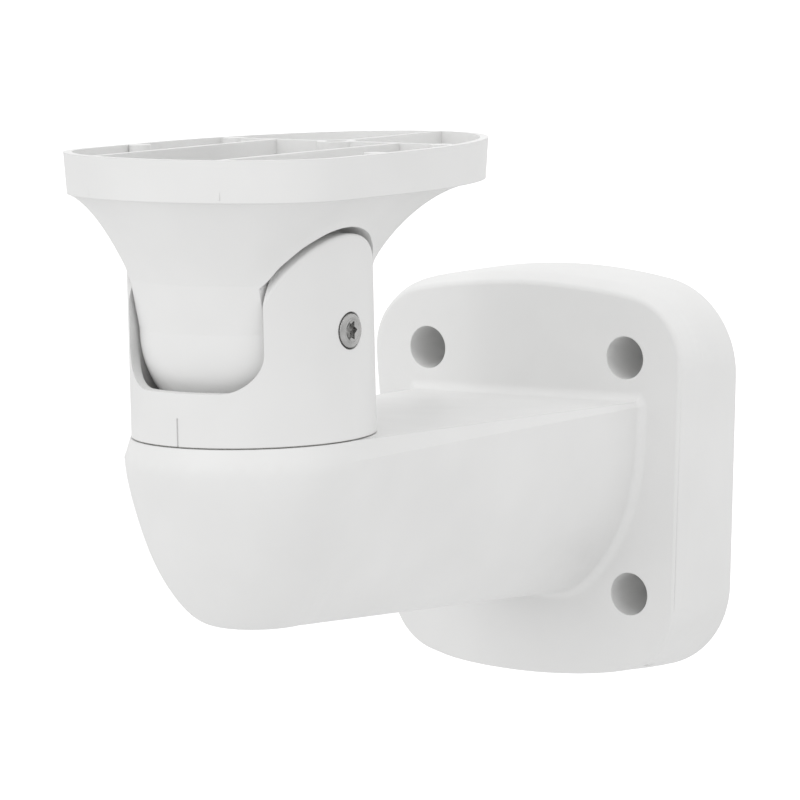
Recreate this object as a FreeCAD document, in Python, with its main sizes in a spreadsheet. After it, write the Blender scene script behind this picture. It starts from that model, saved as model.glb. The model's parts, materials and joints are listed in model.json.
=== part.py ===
import FreeCAD, Part
import math
import os
import re
import Sketcher
from FreeCAD import Placement, Rotation, Vector

# Camera wall bracket: a hollow wall arm, a swivel fork on top of its nose, and a camera shoe
# that tilts in the fork. Cables run from the wall, through the arm, up into the shoe.
# Millimetres. Origin: middle of the four wall holes, on the wall's face. +Z is up and the arm
# reaches out along -Y. The fork and its pieces have their own origin on the pan axis, level with
# the seat that the fork turns on. The shoe and its pieces have theirs at the tilt axis.

doc = FreeCAD.newDocument("camera_wall_bracket")

# Driving sizes

SIZES = {
    # Wall plate
    "hole_pitch": 72.0,             # wall holes, both ways
    "wall_screw_bore": 7.0,         # through hole for a wall screw
    "wall_screw_sink": 13.0,        # deep counterbore for its head
    "wall_screw_seat": 6.0,         # metal left under the head
    "boss_wall": 3.0,               # wall round each counterbore
    "plate_depth": 27.3,            # wall face to front face
    "plate_half_top": 60.0,         # half width, at the top corners before rounding
    "plate_half_low": 53.6,         # half width, at the bottom corners before rounding
    "plate_rise": 60.9,             # top of the crown above the origin
    "plate_drop": 66.0,             # bottom of the crown below the origin
    "crown_top": 190.0,             # bulge of the top side
    "crown_low": 130.0,             # bulge of the bottom side
    "corner_radius": 28.0,          # plan rounding of the corners
    "plate_draft": 7.0,             # draft of the sides, degrees
    "front_edge": 3.0,              # rounding of the front edge
    "plate_wall": 4.0,              # shell of the hollow plate
    "rib_wall": 2.5,                # ribs behind the plate
    "rib_setback": 4.0,             # ribs end this far short of the wall
    # Arm
    "reach": 167.7,                 # wall face to pan axis
    "deck_height": 27.6,            # seat of the fork above the origin
    "root_top": 22.8,               # top of the arm where it meets the plate
    "shoulder_drop": 5.6,           # seat down to the widest level of the nose
    "shoulder_lean": 1.9,           # top edge of the nose inside its widest level
    "root_lean": 0.7,               # the same at the root
    "nose_half": 37.2,              # half width of the nose, widest level
    "nose_side": 34.0,              # half width a third of the way down
    "nose_haunch": 27.9,            # half width two thirds down
    "nose_toe": 17.5,               # half width near the keel
    "nose_keel": -27.2,             # lowest level under the pan axis
    "root_half": 41.6,              # half width of the root, widest level
    "root_side": 39.6,              # half width a third of the way down
    "root_haunch": 32.4,            # half width two thirds down
    "root_toe": 18.0,               # half width near the keel
    "root_keel": -37.2,             # lowest level of the root
    "root_blend": 3.0,              # rounding between the arm and the plate
    "arm_wall": 4.5,                # wall of the hollow arm
    "deck_wall": 6.0,               # thickness of the deck under the seat
    "seat_margin": 0.15,            # seat radius over the fork's
    # Pose
    "pan_set": -0.8,                # fork turned on the arm, degrees
    "tilt_set": -1.15,              # shoe tilted in the fork, degrees, front up
    # Pan joint
    "swivel_radius": 35.0,          # outside of the fork
    "seam_gap": 0.4,                # fork above its seat
    "spigot_radius": 24.0,          # neck of the fork, turning in the deck
    "running_gap": 0.05,            # radial clearance of turning fits
    "cable_radius": 14.5,           # cable way through the neck
    "pan_washer_inner": 26.0,       # inner radius of the friction washer
    "pan_washer_outer": 33.6,       # outer radius of the friction washer
    "pan_washer_sink": 0.5,         # recess of that washer in the seat
    "spring_height": 1.2,           # disc spring, as squeezed
    "spring_wall": 0.6,             # sheet of the disc spring
    "ring_radius": 28.0,            # outside of the retaining ring
    "ring_depth": 5.0,              # thickness of the retaining ring
    "ring_room": 1.0,               # clearance round the ring, in the hollow of the nose
    "ring_screw_circle": 19.3,      # radius that its screws stand on
    "ring_screw_radius": 2.0,       # tapped hole
    "ring_head_radius": 3.5,        # head
    "ring_head_depth": 2.2,         # head height
    "ring_screw_length": 12.0,      # screw under its head
    "fit_gap": 0.1,                 # radial clearance of a plain screw hole
    # Fork and tilt joint
    "tilt_rise": 31.25,             # tilt axis above the seat
    "ear_foot": 8.5,                # foot of that rounding above the tilt axis
    "ear_radius": 27.3,             # top of the ears about the tilt axis
    "slot_half": 23.6,              # half the gap between the ears
    "slot_drop": 15.6,              # bottom of the slot below the tilt axis
    "slot_corner": 11.0,            # rounding of the slot's bottom corners
    "cup_bore": 32.1,               # straight bore round the ball, behind the slot's lip
    "lip_depth": 3.5,               # depth of that bore below the slot
    "ball_radius": 32.0,            # ball of the shoe
    "ball_gap": 1.0,                # ball to its cup
    "cheek_gap": 1.0,               # each cheek of the ball to its ear
    "ear_edge": 1.0,                # rounding of the ears' top edge
    "tilt_seat": 30.6,              # screw seat from the middle plane
    "tilt_head_radius": 4.95,       # screw head
    "tilt_head_depth": 3.6,         # screw head height
    "tilt_head_gap": 0.4,           # radial gap round the head
    "tilt_screw_radius": 3.0,       # screw shank
    "tilt_screw_length": 16.0,      # screw under its head
    "tilt_recess": 2.45,            # six-lobed driver recess, outer radius
    "recess_depth": 2.0,            # depth of that recess
    "tilt_washer_radius": 10.0,     # friction disc between ear and cheek
    "nut_across": 10.0,             # thin hexagon nut, across flats
    "nut_depth": 3.2,               # thin hexagon nut
    "mark_offset": -0.4,            # index line, beside the fork's middle
    "mark_height": 8.0,             # length of the index line
    "mark_width": 0.45,             # width of the index line
    "mark_depth": 0.35,             # depth of the index line
    # Camera shoe
    "ball_drop": 22.0,              # ball is cut off this far below the tilt axis
    "ball_top": 4.0,                # top of the ball's own solid, inside the neck
    "neck_root": 1.7,               # foot of the conical neck, below the tilt axis
    "neck_taper": 3.15,             # neck is this much smaller at its foot
    "neck_radius": 34.8,            # neck above the ball
    "neck_rise": 14.0,              # start of the flare above the tilt axis
    "arch_margin": 0.4,             # flare starts this far over the arch, at the sides
    "flare_early_front": 0.95,      # power of the flare's start, at the front: larger spreads later
    "flare_late_front": 0.68,       # power of its end: smaller spreads later
    "flare_early_rear": 1.30,       # the same at the rear
    "flare_late_rear": 0.53,        # and its end
    "flare_early_side": 1.25,       # the same at the sides
    "flare_late_side": 0.77,        # and their end
    "ear_gap": 1.9,                 # ears to the shoe over them
    "cavity_half": 15.0,            # half width of the cable way through the ball
    "cavity_radius": 24.5,          # its front and rear walls, about the tilt axis
    "mouth_half": 14.0,             # half length of the opening under the ball
    "well_half": 26.5,              # half length of the cable way in the neck
    "rim_low": 38.2,                # lower edge of the rim above the tilt axis
    "rim_top": 50.1,                # top of the shoe above the tilt axis
    "rim_half": 46.9,               # half width of the rim at its top
    "rim_lean": 0.9,                # rim is this much smaller at its lower edge
    "rim_front": 49.0,              # rim in front of the pan axis
    "rim_rear": 95.9,               # rim behind the pan axis
    "rim_straight_front": 18.0,     # straight sides, in front of the pan axis
    "rim_straight_rear": 10.0,      # straight sides, behind it
    "rim_wall": 2.6,                # wall at the rim
    "flare_wall": 3.4,              # wall of the flare
    "tray_floor": 33.0,             # floor of the tray above the tilt axis
    "tray_rib": 2.2,                # ribs of the tray
    "rib_spread": 22.0,             # long ribs from the middle plane
    "long_rib_foot": 35.3,          # front end of a long rib, at the tray's floor
    "cross_rib": 42.0,              # cross rib behind the pan axis
    "cross_rib_foot": 21.6,         # half length of the cross rib at the tray's floor
    "cross_rib_knee": 33.8,         # the same at the rim's lower edge
    "tail_rib_foot": 58.0,          # rear end of the tail rib, at the tray's floor
    "tail_rib_knee": 81.5,          # the same at the rim's lower edge
    "camera_bore": 6.6,             # hole for the camera's screw
    "camera_boss": 11.5,            # boss round it
    "camera_screw_sink": 13.0,      # room for the screw's head, from below
    "camera_screw_seat": 20.5,      # metal over the head
    "pad_radius": 3.2,              # small pads inside the rim
}

sheet = doc.addObject("Spreadsheet::Sheet", "sizes")
for row, (alias, value) in enumerate(SIZES.items(), 1):
    sheet.set("A%d" % row, alias.replace("_", " "))
    sheet.set("B%d" % row, str(value))
    sheet.setAlias("B%d" % row, alias)
doc.recompute()

# Small helpers for bound sketches and features

WORD = re.compile(r"[a-z][a-z_]*")


def number(text):
    return float(sheet.evalExpression(text))


def bound(text):
    return WORD.sub(lambda word: "sizes." + word.group() if word.group() in SIZES else word.group(), text)


def bind(item, prop, text):
    item.setExpression(prop, bound(text))


def new_body(label):
    body = doc.addObject("PartDesign::Body", label)
    body.Label = label
    return body


def origin_part(body, role):
    return next(part for part in body.Origin.OriginFeatures if part.Role == role)


def new_sketch(body, name, plane, offset=None):
    sketch = body.newObject("Sketcher::SketchObject", name)
    sketch.AttachmentSupport = [(origin_part(body, plane), "")]
    sketch.MapMode = "FlatFace"
    if offset:
        bind(sketch, "AttachmentOffset.Base.z", offset)
    return sketch


def hold(sketch, geometry, end, across, up):
    """Ties one point of a sketch to expressions."""
    for kind, axis, text in (("DistanceX", -2, across), ("DistanceY", -1, up)):
        if text == "0":
            sketch.addConstraint(Sketcher.Constraint("PointOnObject", geometry, end, axis))
        else:
            place = sketch.addConstraint(Sketcher.Constraint(kind, -1, 1, geometry, end, number(text)))
            bind(sketch, "Constraints[%d]" % place, text)


def arc_between(start, finish, radius):
    """Arc from start to finish that turns left for a positive radius, and its first and last ends."""
    chord = finish - start
    sign = 1 if radius > 0 else -1
    size = max(abs(radius), chord.Length / 2)
    height = math.sqrt(max(size ** 2 - (chord.Length / 2) ** 2, 0))
    side = Vector(-chord.y, chord.x, 0).normalize()
    centre = (start + finish) * 0.5 + side * (height * sign)
    circle = Part.Circle(centre, Vector(0, 0, 1), size)
    first, last = (start, finish) if sign > 0 else (finish, start)
    angles = [math.atan2(p.y - centre.y, p.x - centre.x) for p in (first, last)]
    if angles[1] < angles[0]:
        angles[1] += 2 * math.pi
    ends = (1, 2) if sign > 0 else (2, 1)
    return Part.ArcOfCircle(circle, *angles), ends


def outline(sketch, corners):
    """Closed outline. A corner is (across, up), or (across, up, radius) where an arc leads to it."""
    spots = [Vector(number(corner[0]), number(corner[1]), 0) for corner in corners]
    sides = []
    for place, corner in enumerate(corners):
        start, finish = spots[place - 1], spots[place]
        if len(corner) == 2:
            side = sketch.addGeometry(Part.LineSegment(start, finish))
            ends = (1, 2)
        else:
            arc, ends = arc_between(start, finish, number(corner[2]))
            side = sketch.addGeometry(arc)
        sides.append((side, ends))
    for place, (side, ends) in enumerate(sides):
        onward, onward_ends = sides[(place + 1) % len(sides)]
        sketch.addConstraint(Sketcher.Constraint("Coincident", side, ends[1], onward, onward_ends[0]))
        hold(sketch, side, ends[1], corners[place][0], corners[place][1])
        if len(corners[place]) == 3:
            size = number("abs(%s)" % corners[place][2])
            radius = sketch.addConstraint(Sketcher.Constraint("Radius", side, size))
            bind(sketch, "Constraints[%d]" % radius, "abs(%s)" % corners[place][2])


def circle(sketch, across, up, radius):
    spot = Vector(number(across), number(up), 0)
    ring = sketch.addGeometry(Part.Circle(spot, Vector(0, 0, 1), number(radius)))
    hold(sketch, ring, 3, across, up)
    place = sketch.addConstraint(Sketcher.Constraint("Radius", ring, number(radius)))
    bind(sketch, "Constraints[%d]" % place, radius)


def fixed(sketch, geometry):
    """Adds free-form geometry that is worked out from the sheet and held where it is."""
    place = sketch.addGeometry(geometry)
    sketch.addConstraint(Sketcher.Constraint("Block", place))


def feature(body, kind, name, sketch, **bindings):
    item = body.newObject("PartDesign::" + kind, name)
    item.Profile = sketch
    sketch.Visibility = False
    for prop, text in bindings.items():
        bind(item, prop, text)
    return item


def pad(body, name, sketch, length, reverse=False, **more):
    item = feature(body, "Pad", name, sketch, Length=length, **more)
    item.Reversed = reverse
    doc.recompute()
    return item


def both_ways(item):
    """Makes a pad or pocket grow to both sides of its sketch."""
    if hasattr(item, "SideType"):
        item.SideType = "Symmetric"
    else:
        item.Midplane = True
    doc.recompute()


def pocket(body, name, sketch, length, reverse=False, middle=False):
    """A pocket that has to take metal away."""
    before = body.Shape.Volume
    item = feature(body, "Pocket", name, sketch, Length=length)
    item.Reversed = reverse
    if middle:
        both_ways(item)
    doc.recompute()
    if body.Shape.Volume >= before - 1e-6:
        raise RuntimeError("%s cuts nothing" % name)
    return item


def turned(body, kind, name, sketch, axis, angle="360"):
    item = feature(body, kind, name, sketch)
    item.ReferenceAxis = (sketch, [axis])
    bind(item, "Angle", angle)
    doc.recompute()
    return item


def loft(body, kind, name, sketches):
    item = feature(body, kind, name, sketches[0])
    item.Sections = sketches[1:]
    for sketch in sketches:
        sketch.Visibility = False
    doc.recompute()
    return item


def edges_where(shape, test):
    return ["Edge%d" % (place + 1) for place, edge in enumerate(shape.Edges) if test(edge)]


def dress(body, kind, name, edges, prop, text):
    """Fillet or chamfer on the named edges of the body's last feature."""
    if not edges:
        raise RuntimeError("%s has no edges" % name)
    item = body.newObject("PartDesign::" + kind, name)
    item.Base = (body.Tip if body.Tip != item else item.BaseFeature, edges)
    bind(item, prop, text)
    doc.recompute()
    return item


def polar(body, name, source, axis_role, count):
    item = body.newObject("PartDesign::PolarPattern", name)
    item.Originals = [source]
    item.Axis = (origin_part(body, axis_role), [""])
    item.Angle = 360
    item.Occurrences = count
    body.Tip = item
    doc.recompute()
    return item


# Wall arm: one hollow casting, the wall plate and the arm together


def corner_arc(crown_centre, crown, radius, low, high, upper):
    """Centre and two ends of the arc that rounds a right-hand corner: on the side, then on the crown."""
    up = (high - low).normalize()
    inward = Vector(-up.y, up.x, 0)
    start = low + inward * radius - crown_centre
    along = start * up
    root = math.sqrt(along ** 2 - start * start + (crown - radius) ** 2)
    centre = crown_centre + start + up * (root - along if upper else -root - along)
    return centre, centre - inward * radius, crown_centre + (centre - crown_centre) * (crown / (crown - radius))


def plate_outline(sketch, inset):
    """Crowned plate with straight leaning sides and rounded corners, drawn leftwards round."""
    crown = {True: "(crown_top - %s)" % inset, False: "(crown_low - %s)" % inset}
    radius = "(corner_radius - %s)" % inset
    high = Vector(number("plate_half_top - %s" % inset), number("plate_rise"), 0)
    low = Vector(number("plate_half_low - %s" % inset), number("-plate_drop"), 0)
    hubs = {True: Vector(0, number("plate_rise - crown_top"), 0),
            False: Vector(0, number("crown_low - plate_drop"), 0)}
    corner = {upper: corner_arc(hubs[upper], number(crown[upper]), number(radius), low, high, upper)
              for upper in hubs}

    def flip(point):
        return Vector(-point.x, point.y, 0)

    def arc(centre, size, start, finish):
        angles = [math.atan2(p.y - centre.y, p.x - centre.x) for p in (start, finish)]
        if angles[1] < angles[0]:
            angles[1] += 2 * math.pi
        return sketch.addGeometry(Part.ArcOfCircle(Part.Circle(centre, Vector(0, 0, 1), size), *angles))

    top, bottom = corner[True], corner[False]
    size = number(radius)
    ring = [
        arc(hubs[True], number(crown[True]), top[2], flip(top[2])),
        arc(flip(top[0]), size, flip(top[2]), flip(top[1])),
        sketch.addGeometry(Part.LineSegment(flip(top[1]), flip(bottom[1]))),
        arc(flip(bottom[0]), size, flip(bottom[1]), flip(bottom[2])),
        arc(hubs[False], number(crown[False]), flip(bottom[2]), bottom[2]),
        arc(bottom[0], size, bottom[2], bottom[1]),
        sketch.addGeometry(Part.LineSegment(bottom[1], top[1])),
        arc(top[0], size, top[1], top[2]),
    ]
    for place, side in enumerate(ring):
        sketch.addConstraint(Sketcher.Constraint("Tangent", side, 2, ring[(place + 1) % len(ring)], 1))
    hold(sketch, ring[0], 3, "0", "plate_rise - crown_top")
    hold(sketch, ring[4], 3, "0", "crown_low - plate_drop")
    sizes = [(0, crown[True]), (4, crown[False])] + [(corner_place, radius) for corner_place in (1, 3, 5, 7)]
    for place, text in sizes:
        size_held = sketch.addConstraint(Sketcher.Constraint("Radius", ring[place], number(text)))
        bind(sketch, "Constraints[%d]" % size_held, text)
    for side, sign in ((ring[6], ""), (ring[2], "-")):
        ends = (high, low) if not sign else (flip(high), flip(low))
        guide = sketch.addGeometry(Part.LineSegment(*ends), True)
        hold(sketch, guide, 1, "%s(plate_half_top - %s)" % (sign, inset), "plate_rise")
        hold(sketch, guide, 2, "%s(plate_half_low - %s)" % (sign, inset), "-plate_drop")
        for end in (1, 2):
            sketch.addConstraint(Sketcher.Constraint("PointOnObject", side, end, guide))


SIDE_LEVELS = (0.35, 0.69, 0.96)


def arm_points(wide, deep, inset):
    """Right half of the arm's section: top edge, widest point, three side points and keel, as text."""

    def between(nose, root, share):
        return "(%s + (%s - %s) * %s)" % (nose, root, nose, share)

    top = between("deck_height", "root_top", deep)
    shoulder = between("(deck_height - shoulder_drop)", "(root_top - shoulder_drop / 4)", deep)
    keel = "(%s + %s)" % (between("nose_keel", "root_keel", deep), inset)
    half = "(%s - %s)" % (between("nose_half", "root_half", wide), inset)
    lean = between("shoulder_lean", "root_lean", deep)
    if inset != "0":
        top = "(%s - deck_wall)" % top
        shoulder = "(%s - arm_wall)" % top
        lean = "(%s * 1.5)" % inset
    side = "(%s - %s)" % (between("nose_side", "root_side", wide), inset)
    haunch = "(%s - %s * 0.9)" % (between("nose_haunch", "root_haunch", wide), inset)
    toe = "(%s - %s * 0.5)" % (between("nose_toe", "root_toe", wide), inset)
    levels = ["(%s - (%s - %s) * %g)" % (shoulder, shoulder, keel, level) for level in SIDE_LEVELS]
    return [("(%s - %s)" % (half, lean), top), (half, shoulder), (side, levels[0]),
            (haunch, levels[1]), (toe, levels[2]), ("0", keel)]


def arm_curve(points):
    """Smooth side from the widest point down to a level keel."""
    curve = Part.BSplineCurve()
    curve.interpolate(Points=points, InitialTangent=Vector(-0.06, -1, 0), FinalTangent=Vector(-1, 0, 0))
    return curve


def far_curve(curve):
    """The same side over the middle plane, from the keel up."""
    knots = curve.getKnots()
    other = Part.BSplineCurve()
    other.buildFromPolesMultsKnots(
        [Vector(-pole.x, pole.y, 0) for pole in reversed(curve.getPoles())],
        list(reversed(curve.getMultiplicities())),
        [knots[0] + knots[-1] - knot for knot in reversed(knots)], False, curve.Degree)
    return other


def arm_section(sketch, wide, deep, inset="0"):
    spots = [Vector(number(x), number(y), 0) for x, y in arm_points(wide, deep, inset)]
    top, widest = spots[0], spots[1]
    across = [Vector(-p.x, p.y, 0) for p in (top, widest)]
    fixed(sketch, Part.LineSegment(across[0], top))
    fixed(sketch, Part.LineSegment(top, widest))
    curve = arm_curve(spots[1:])
    fixed(sketch, curve)
    fixed(sketch, far_curve(curve))
    fixed(sketch, Part.LineSegment(across[1], across[0]))


def nose_section(sketch, inset="0"):
    """Half section of the nose, which is turned about the pan axis."""
    spots = [Vector(number(x), number(y), 0) for x, y in arm_points("0", "0", inset)]
    middle = Vector(0, spots[0].y, 0)
    fixed(sketch, Part.LineSegment(middle, spots[0]))
    fixed(sketch, Part.LineSegment(spots[0], spots[1]))
    fixed(sketch, arm_curve(spots[1:]))
    fixed(sketch, Part.LineSegment(spots[-1], middle))


def half_turn(body, kind, name, sketch):
    """Turns a half section through the front half circle about the pan axis."""
    before = body.Shape.copy()
    item = turned(body, kind, name, sketch, "V_Axis", "180")
    changed = body.Shape.cut(before) if kind == "Revolution" else before.cut(body.Shape)
    if not changed.Solids or changed.BoundBox.Center.y > -number("reach"):
        item.Reversed = True
        doc.recompute()
    return item


def wall_arm():
    body = new_body("wall_arm")
    # Hollow plate
    sketch = new_sketch(body, "plate_outline", "XZ_Plane")
    plate_outline(sketch, "0")
    pad(body, "plate", sketch, "plate_depth", TaperAngle="-plate_draft")
    depth = number("plate_depth")
    front = edges_where(body.Shape, lambda edge: edge.BoundBox.YMax < -depth + 0.01)
    dress(body, "Fillet", "plate_front_edge", front, "Radius", "front_edge")
    sketch = new_sketch(body, "plate_hollow_outline", "XZ_Plane")
    plate_outline(sketch, "plate_wall")
    hollow = pocket(body, "plate_hollow", sketch, "plate_depth - plate_wall", True)
    bind(hollow, "TaperAngle", "-plate_draft")
    doc.recompute()
    # Arm and nose
    level_share = "(nose_half / (reach - plate_depth + plate_wall / 2))"
    stations = [("plate_depth - plate_wall / 2", "1", "1"), ("reach - nose_half", "0.13", level_share),
                ("reach", "0", "0")]
    sections = []
    for place, (offset, wide, deep) in enumerate(stations):
        sketch = new_sketch(body, "arm_section_%d" % place, "XZ_Plane", offset)
        arm_section(sketch, wide, deep)
        sections.append(sketch)
    loft(body, "AdditiveLoft", "arm", sections)
    sketch = new_sketch(body, "nose_profile", "XZ_Plane", "reach")
    nose_section(sketch)
    half_turn(body, "Revolution", "nose", sketch)
    sketch = new_sketch(body, "seat_disc", "XY_Plane", "deck_height")
    circle(sketch, "0", "-reach", "swivel_radius + seat_margin")
    pad(body, "seat", sketch, "deck_wall", True)
    # Cable way through the arm, open to the plate, and the deck bore over it
    stations[0] = ("plate_depth - plate_wall * 1.5", "1", "1")
    sections = []
    for place, (offset, wide, deep) in enumerate(stations):
        sketch = new_sketch(body, "hollow_section_%d" % place, "XZ_Plane", offset)
        arm_section(sketch, wide, deep, "arm_wall")
        sections.append(sketch)
    loft(body, "SubtractiveLoft", "arm_hollow", sections)
    sketch = new_sketch(body, "nose_hollow_profile", "XZ_Plane", "reach")
    nose_section(sketch, "arm_wall")
    half_turn(body, "Groove", "nose_hollow", sketch)
    sketch = new_sketch(body, "deck_bore_outline", "XY_Plane", "deck_height")
    circle(sketch, "0", "-reach", "spigot_radius + running_gap")
    pocket(body, "deck_bore", sketch, "deck_wall * 2")
    sketch = new_sketch(body, "washer_recess_outline", "XY_Plane", "deck_height")
    circle(sketch, "0", "-reach", "pan_washer_outer")
    pocket(body, "washer_recess", sketch, "pan_washer_sink")
    sketch = new_sketch(body, "spring_seat_outline", "XY_Plane", "deck_height - deck_wall")
    circle(sketch, "0", "-reach", "ring_radius + ring_room")
    pocket(body, "spring_seat", sketch, "spring_height + ring_depth + ring_room")
    # Bosses for the wall screws, with ribs between them
    pitch = "hole_pitch / 2"
    places = [(pitch, pitch), ("-" + pitch, pitch), ("-" + pitch, "-" + pitch), (pitch, "-" + pitch)]
    sketch = new_sketch(body, "boss_circles", "XZ_Plane")
    for across, up in places:
        circle(sketch, across, up, "wall_screw_sink / 2 + boss_wall")
    pad(body, "bosses", sketch, "plate_depth - plate_wall / 2")
    ribs = [("plate_half_low - plate_wall", pitch), ("plate_half_low - plate_wall", "-" + pitch)]
    sketch = new_sketch(body, "cross_ribs", "XZ_Plane", "rib_setback")
    half = "rib_wall / 2"
    for end, level in ribs:
        outline(sketch, [("-(%s)" % end, "%s - %s" % (level, half)), (end, "%s - %s" % (level, half)),
                         (end, "%s + %s" % (level, half)), ("-(%s)" % end, "%s + %s" % (level, half))])
    pad(body, "ribs_across", sketch, "plate_depth - plate_wall - rib_setback")
    sketch = new_sketch(body, "upright_ribs", "XZ_Plane", "rib_setback")
    for side in (pitch, "-" + pitch):
        outline(sketch, [("%s - %s" % (side, half), "-(plate_drop - plate_wall * 2)"),
                         ("%s + %s" % (side, half), "-(plate_drop - plate_wall * 2)"),
                         ("%s + %s" % (side, half), "plate_rise - plate_wall * 2"),
                         ("%s - %s" % (side, half), "plate_rise - plate_wall * 2")])
    pad(body, "ribs_up", sketch, "plate_depth - plate_wall - rib_setback")
    sketch = new_sketch(body, "sink_circles", "XZ_Plane", "wall_screw_seat")
    for across, up in places:
        circle(sketch, across, up, "wall_screw_sink / 2")
    pocket(body, "screw_sinks", sketch, "plate_depth", True)
    sketch = new_sketch(body, "hole_circles", "XZ_Plane")
    for across, up in places:
        circle(sketch, across, up, "wall_screw_bore / 2")
    pocket(body, "screw_holes", sketch, "wall_screw_seat * 2", True)
    # Blend the arm into the plate
    root = edges_where(body.Shape, lambda edge: on_root(edge, depth))
    dress(body, "Fillet", "root_blend", root, "Radius", "root_blend")
    return body


def on_root(edge, depth):
    box = edge.BoundBox
    flat = abs(box.YMin + depth) < 0.01 and abs(box.YMax + depth) < 0.01
    wide = max(abs(box.XMin), abs(box.XMax)) < number("root_half") + 0.5
    return flat and wide and box.ZMax < number("root_top") + 0.5 and edge.Curve.TypeId != "Part::GeomCircle"


# Fork: turns on the arm's nose and carries the shoe between its ears


def at_pan_axis(label, carried=True):
    """Body with its origin on the pan axis, level with the seat, that turns with the fork."""
    body = new_body(label)
    bind(body, "Placement.Base.y", "-reach")
    bind(body, "Placement.Base.z", "deck_height")
    if carried:
        bind(body, "Placement.Rotation.Yaw", "pan_set * 1 deg")
    doc.recompute()
    return body


def at_tilt_axis(label, tilts=True):
    """Body with its origin where the tilt axis crosses the pan axis."""
    body = at_pan_axis(label)
    bind(body, "Placement.Base.z", "deck_height + tilt_rise")
    if tilts:
        bind(body, "Placement.Rotation.Roll", "tilt_set * 1 deg")
    doc.recompute()
    return body


def yoke():
    body = at_pan_axis("yoke")
    sketch = new_sketch(body, "swivel_circle", "XY_Plane", "seam_gap")
    circle(sketch, "0", "0", "swivel_radius")
    pad(body, "swivel", sketch, "tilt_rise + ear_radius * 1.1 - seam_gap")
    # Ears rounded about the tilt axis
    reach_out, over = "swivel_radius * 1.2", "tilt_rise + ear_radius * 1.2"
    foot, side = "tilt_rise + ear_foot", "sqrt(ear_radius ^ 2 - ear_foot ^ 2)"
    sketch = new_sketch(body, "ear_tops_outline", "YZ_Plane")
    outline(sketch, [("-" + reach_out, foot), ("-" + side, foot), (side, foot, "-ear_radius"), (reach_out, foot),
                     (reach_out, over), ("-" + reach_out, over)])
    pocket(body, "ear_tops", sketch, reach_out + " * 2", middle=True)
    # Slot with rounded bottom corners, and the cup for the ball below it
    bottom, corner = "tilt_rise - slot_drop", "slot_corner"
    sketch = new_sketch(body, "slot_outline", "XZ_Plane")
    outline(sketch, [("-slot_half", over), ("-slot_half", bottom + " + " + corner),
                     ("-(slot_half - slot_corner)", bottom, corner), ("slot_half - slot_corner", bottom),
                     ("slot_half", bottom + " + " + corner, corner), ("slot_half", over)])
    pocket(body, "slot", sketch, reach_out + " * 2", middle=True)
    dress(body, "Fillet", "ear_edges", edges_where(body.Tip.Shape, on_ear_edge), "Radius", "ear_edge")
    cup = "(ball_radius + ball_gap)"
    rim = "tilt_rise - sqrt(%s ^ 2 - slot_half ^ 2)" % cup
    sketch = new_sketch(body, "cup_profile", "XZ_Plane")
    outline(sketch, [("-slot_half", "tilt_rise"), ("-slot_half", rim), ("slot_half", rim, cup),
                     ("slot_half", "tilt_rise")])
    height = number("tilt_rise")
    axis = sketch.addGeometry(Part.LineSegment(Vector(-1, height, 0), Vector(1, height, 0)), True)
    hold(sketch, axis, 1, "-slot_half / 2", "tilt_rise")
    hold(sketch, axis, 2, "slot_half / 2", "tilt_rise")
    turned(body, "Groove", "cup", sketch, "Axis0")
    sketch = new_sketch(body, "cup_bore_outline", "XY_Plane", "tilt_rise")
    end = "sqrt(cup_bore ^ 2 - slot_half ^ 2)"
    outline(sketch, [("-slot_half", end, "cup_bore"), ("-slot_half", "-" + end),
                     ("slot_half", "-" + end, "cup_bore"), ("slot_half", end)])
    pocket(body, "cup_bore", sketch, "slot_drop + lip_depth")
    # Spigot that turns in the deck, with the cable way through it
    sketch = new_sketch(body, "spigot_circle", "XY_Plane", "seam_gap")
    circle(sketch, "0", "0", "spigot_radius")
    pad(body, "spigot", sketch, "seam_gap + deck_wall + spring_height", True)
    sketch = new_sketch(body, "cable_circle", "XY_Plane", "tilt_rise")
    circle(sketch, "0", "0", "cable_radius")
    pocket(body, "cable_way", sketch, "tilt_rise + deck_wall * 2")
    # Screws of the retaining ring, sunk in the cup
    off = "ring_screw_circle * sqrt(0.5)"
    sketch = new_sketch(body, "ring_screw_sink_circle", "XY_Plane")
    circle(sketch, off, off, "ring_head_radius + fit_gap * 3")
    sink = pocket(body, "ring_screw_sink", sketch, "tilt_rise / 2", True)
    polar(body, "ring_screw_sinks", sink, "Z_Axis", 4)
    sketch = new_sketch(body, "ring_screw_hole_circle", "XY_Plane")
    circle(sketch, off, off, "ring_screw_radius + fit_gap")
    hole = pocket(body, "ring_screw_hole", sketch, "deck_wall * 2")
    polar(body, "ring_screw_holes", hole, "Z_Axis", 4)
    # Tilt screws, one in each ear
    for name, seat, outwards in (("left", "-tilt_seat", False), ("right", "tilt_seat", True)):
        sketch = new_sketch(body, "tilt_sink_circle_" + name, "YZ_Plane", seat)
        circle(sketch, "0", "tilt_rise", "tilt_head_radius + tilt_head_gap")
        pocket(body, "tilt_sink_" + name, sketch, "swivel_radius", outwards)
    sketch = new_sketch(body, "tilt_hole_circle", "YZ_Plane")
    circle(sketch, "0", "tilt_rise", "tilt_screw_radius + fit_gap")
    pocket(body, "tilt_holes", sketch, "swivel_radius * 2", middle=True)
    # Index line at the front, above the seam
    left, right = "mark_offset - mark_width / 2", "mark_offset + mark_width / 2"
    sketch = new_sketch(body, "index_line_outline", "XZ_Plane", "swivel_radius + 1")
    outline(sketch, [(left, "0"), (right, "0"), (right, "seam_gap + mark_height"),
                     (left, "seam_gap + mark_height")])
    pocket(body, "index_line", sketch, "1 + mark_depth")
    return body


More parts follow.
